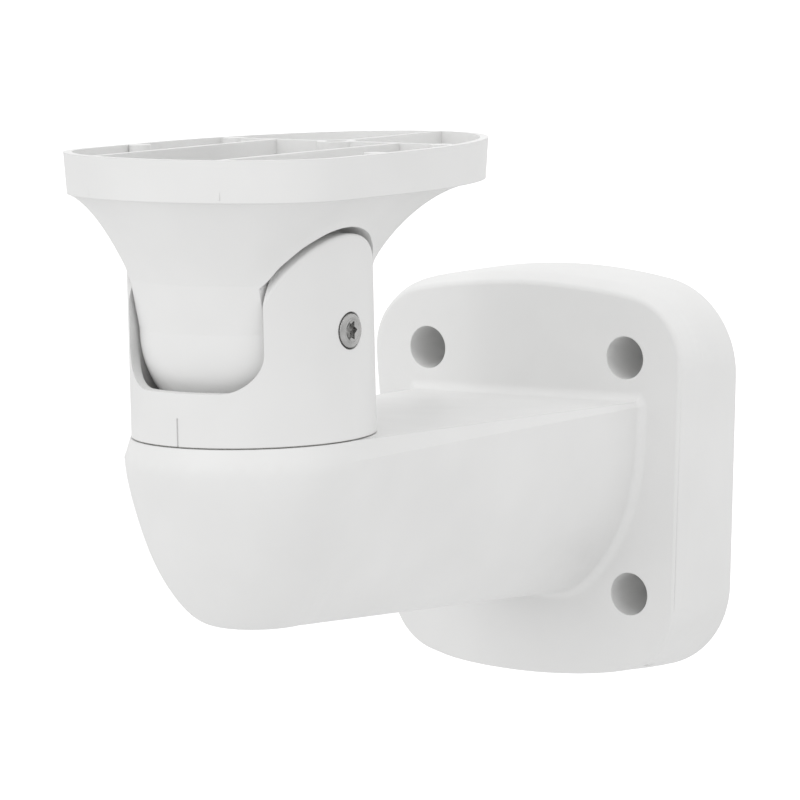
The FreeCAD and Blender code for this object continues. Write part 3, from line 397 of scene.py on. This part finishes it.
def makeArm(name, shape, material):
    bm = bmesh.new()
    bm.from_mesh(nodes["wall_arm"].data)
    bmesh.ops.remove_doubles(bm, verts=bm.verts, dist=2e-6)
    for depth in shape["cuts"]:
        everything = bm.verts[:] + bm.edges[:] + bm.faces[:]
        place = (0, -depth / 1000, 0)
        bmesh.ops.bisect_plane(bm, geom=everything, dist=1e-7, plane_co=place, plane_no=(0, 1, 0))
    reshapePlate(bm, shape)
    arm = bpy.data.objects.new(name, toMesh(bm, name, shape["sharp"], material))
    scene.collection.objects.link(arm)
    even = arm.modifiers.new("evenNormals", "WEIGHTED_NORMAL")
    even.keep_sharp = True
    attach(arm, "arm")
    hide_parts("wall_arm")


makeArm("armCasting", plate, coats["wall_arm"])
print("arm reshaped")

# Stainless steel of the screws, nuts, ring and spring
steel = {
    "dark": (0.38, 0.38, 0.375),
    "light": (0.50, 0.497, 0.49),
    "cloud": 0.004,
    "cloudDetail": 3,
    "rough": (0.20, 0.30),
    "roughPatch": 0.0025,
    "turning": 0.00022,             # spacing of the turning marks, metres
    "turningHeight": 0.0000012,
    "wander": 0.6,                  # of the turning marks
    "edge": 0.00015,
}
waveSpacing = 0.314                 # between the rings of a wave texture at scale 1

# Natural acetal of the washers
acetal = {
    "dark": (0.74, 0.73, 0.69),
    "light": (0.80, 0.79, 0.75),
    "cloud": 0.008,
    "cloudDetail": 2,
    "rough": (0.42, 0.55),
    "roughPatch": 0.003,
}
washers = {
    "pan_washer": "panAcetal",
    "tilt_washer_left": "leftAcetal",
    "tilt_washer_right": "rightAcetal",
}
acetalShift = 0.2


def makeSteel(name, setup, centre, axis, seed):
    # Turned: faint rings round the given axis
    material, tree, shader, at = makeFinish(name, setup, seed)
    shader.inputs["Metallic"].default_value = 1.0
    aim = tree.nodes.new("ShaderNodeMapping")
    aim.vector_type = "TEXTURE"
    aim.inputs["Location"].default_value = centre
    aim.inputs["Rotation"].default_value = Vector(axis).to_track_quat("Z", "Y").to_euler()
    rings = tree.nodes.new("ShaderNodeTexWave")
    rings.wave_type = "RINGS"
    rings.rings_direction = "Z"
    rings.inputs["Scale"].default_value = waveSpacing / setup["turning"]
    rings.inputs["Distortion"].default_value = setup["wander"]
    tree.links.new(at, aim.inputs["Vector"])
    tree.links.new(aim.outputs["Vector"], rings.inputs["Vector"])
    rounded = addRoundEdge(tree, setup["edge"])
    normal = addBump(tree, rings.outputs["Fac"], setup["turningHeight"], rounded)
    tree.links.new(normal, shader.inputs["Normal"])
    return material


tiltAt = Vector(joints["tilt"]["pos_m"])
tiltAxis = Vector(joints["tilt"]["axis"])
panAt = Vector(joints["pan"]["pos_m"])
tiltSteel = makeSteel("tiltSteel", steel, tiltAt, tiltAxis, 0.0)
panSteel = makeSteel("panSteel", steel, panAt, (0, 0, 1), 0.4)
for node in ("pan_disc_spring", "retaining_ring"):
    dress(nodes[node], panSteel)
for number, (node, name) in enumerate(washers.items()):
    dress(nodes[node], makeFinish(name, acetal, number * acetalShift)[0])
print("steel and washers coated")


# Screws and nuts are turned from rings about their own axis, in mm. 0 is the seat under the head, and the
# head is above it
def hexagon(apothem):
    third = math.pi / 3
    return lambda angle: apothem / math.cos(angle % third - third / 2)


def lobed(mean, swing):
    # Six soft lobes
    return lambda angle: mean + swing * math.cos(6 * angle)


def within(shape, reach):
    # The part of a shape that lies within a circle
    return lambda angle: min(shape(angle), reach)


def turnRings(bm, rings, close=True, around=96):
    # Skins a stack of rings, each a height and a radius that may depend on the angle
    edges = None
    for height, reach in rings:
        if edges is None:
            start = bmesh.ops.create_circle(bm, cap_ends=close, segments=around, radius=1.0)
            ring = start["verts"]
            edges = [edge for edge in bm.edges if edge.verts[0] in ring and edge.verts[1] in ring]
        else:
            grown = bmesh.ops.extrude_edge_only(bm, edges=edges)["geom"]
            ring = [item for item in grown if isinstance(item, bmesh.types.BMVert)]
            edges = [item for item in grown if isinstance(item, bmesh.types.BMEdge)]
        for vert in ring:
            angle = math.atan2(vert.co.y, vert.co.x)
            size = reach(angle) if callable(reach) else reach
            vert.co = (size * math.cos(angle) / 1000, size * math.sin(angle) / 1000, height / 1000)
    if close:
        bmesh.ops.edgeloop_fill(bm, edges=edges)
    else:
        bmesh.ops.remove_doubles(bm, verts=bm.verts, dist=1e-7)


turnedSharp = 38        # edges past this many degrees stay sharp
thread = {
    "ridge": 0.46,      # half the ridge's foot, in pitches
    "flat": 0.14,       # share of that foot that its top keeps
    "sunk": 0.06,       # foot below the core
    "plain": 1.1,       # left bare at each end
    "around": 32,       # steps to a turn
}


def cutThread(bm, setup):
    # A helical ridge from the tip to just under the head
    turns = (setup["length"] - 2 * thread["plain"]) / setup["pitch"]
    steps = int(turns * thread["around"])
    half = setup["pitch"] * thread["ridge"]
    flat = half * thread["flat"]
    base = -setup["length"] + thread["plain"]
    foot = setup["core"] - thread["sunk"]
    profile = ((foot, -half), (setup["crest"], -flat), (setup["crest"], flat), (foot, half))
    verts = [bm.verts.new((reach / 1000, 0, (base + height) / 1000)) for reach, height in profile]
    edges = [bm.edges.new((verts[k], verts[(k + 1) % 4])) for k in range(4)]
    climb = turns * setup["pitch"] / steps / 1000
    end = bmesh.ops.spin(bm, geom=verts + edges, cent=(0, 0, 0), axis=(0, 0, 1), dvec=(0, 0, climb),
                         angle=2 * math.pi * turns, steps=steps)["geom_last"]
    bmesh.ops.edgeloop_fill(bm, edges=edges)
    bmesh.ops.edgeloop_fill(bm, edges=[item for item in end if isinstance(item, bmesh.types.BMEdge)])


def placePiece(name, bm, seat, outward, body, node, material):
    # Sets a turned piece on its seat, with its head outward
    turn = outward.to_track_quat("Z", "Y").to_matrix().to_4x4()
    bmesh.ops.transform(bm, matrix=Matrix.Translation(seat) @ turn, verts=bm.verts)
    piece = bpy.data.objects.new(name, toMesh(bm, name, turnedSharp, material))
    scene.collection.objects.link(piece)
    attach(piece, body)
    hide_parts(node)


tiltScrew = {
    "length": 16.0,             # under the head
    "core": 2.55,
    "crest": 2.98,
    "pitch": 1.0,
    "point": (0.6, 0.5),        # chamfer at the tip: height and step
    "neck": (0.9, 0.5, 0.02),   # widens from core to crest this far under the head, and ends there
    "head": [                   # height and radius, from the seat to the top
        (0.0, 4.95), (4.15, 4.95), (4.45, 4.88), (4.72, 4.68), (4.92, 4.38), (5.0, 4.0),
        (5.0, 3.66), (4.84, 3.5), (4.84, 3.3), (5.0, 3.14), (5.0, 2.95), (4.8, 2.75),
    ],
    "drive": lobed(2.3, 0.36),
    "driveLip": 0.25,
    "driveDepth": 2.0,
    "drivePoint": (0.35, 0.5),  # depth and radius of the cone at the bottom
    "seat": 30.6,               # from the middle plane
}
ringScrew = {
    "length": 12.0,
    "core": 1.6,
    "crest": 1.95,
    "pitch": 0.7,
    "point": (0.4, 0.35),
    "neck": (0.7, 0.4, 0.02),
    "head": [(0.0, 3.5), (1.85, 3.5), (2.08, 3.42), (2.2, 3.2), (2.2, 1.78)],
    "drive": hexagon(1.458),
    "driveLip": 0.2,
    "driveDepth": 1.1,
    "drivePoint": (0.2, 0.4),
}


def turnScrew(setup):
    # Tip, shank and neck, then the head and its drive, then the thread
    bm = bmesh.new()
    tip, core, crest = -setup["length"], setup["core"], setup["crest"]
    top = setup["head"][-1][0]
    floor = top - setup["driveDepth"]
    rings = [(tip, core - setup["point"][1]), (tip + setup["point"][0], core)]
    rings += [(-under, radius) for under, radius in zip(setup["neck"], (core, crest, crest))]
    rings += setup["head"]
    rings += [(top - setup["driveLip"], setup["drive"]), (floor, setup["drive"])]
    rings += [(floor - setup["drivePoint"][0], setup["drivePoint"][1])]
    turnRings(bm, rings)
    cutThread(bm, setup)
    return bm


def makeTiltScrew(name, setup, side):
    outward = tiltAxis * side
    seat = tiltAt + outward * setup["seat"] / 1000
    node = "tilt_screw_right" if side > 0 else "tilt_screw_left"
    placePiece(name, turnScrew(setup), seat, outward, "shoe", node, tiltSteel)


def makeRingScrew(name, setup, number):
    # Head up, with its top level with the CAD screw's
    node = "ring_screw_%d" % number
    low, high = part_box(node)
    top = setup["head"][-1][0]
    seat = Vector(((low[0] + high[0]) / 2, (low[1] + high[1]) / 2, high[2] - top / 1000))
    placePiece(name, turnScrew(setup), seat, Vector((0, 0, 1)), "fork", node, panSteel)


nut = {
    "inner": 15.0,          # its near face from the middle plane
    "depth": 3.2,
    "bore": 2.98,
    "boreChamfer": 0.3,
    "apothem": 5.0,
    "face": 4.75,           # radius of the flat round face
    "rimStep": (0.15, 0.26),    # the rounded rim's steps: rise and growth
    "rimSteps": 5,
}


def makeNut(name, setup, side):
    bm = bmesh.new()
    outline = hexagon(setup["apothem"])
    depth, bore, chamfer = setup["depth"], setup["bore"], setup["boreChamfer"]
    rise, growth = setup["rimStep"]
    rim = [(step * rise, within(outline, setup["face"] + step * growth))
           for step in range(setup["rimSteps"])]
    rings = [(chamfer, bore), (0.0, bore + chamfer)] + rim
    rings += [(depth - height, reach) for height, reach in reversed(rim)]
    rings += [(depth, bore + chamfer), (depth - chamfer, bore), (chamfer, bore)]
    turnRings(bm, rings, close=False)
    outward = tiltAxis * side
    node = "tilt_nut_right" if side > 0 else "tilt_nut_left"
    placePiece(name, bm, tiltAt + outward * setup["inner"] / 1000, outward, "shoe", node, tiltSteel)


for side, word in ((1, "Right"), (-1, "Left")):
    makeTiltScrew("tiltScrew" + word, tiltScrew, side)
    makeNut("tiltNut" + word, nut, side)
for number in (1, 2, 3, 4):
    makeRingScrew("ringScrew%d" % number, ringScrew, number)
print("screws and nuts made")
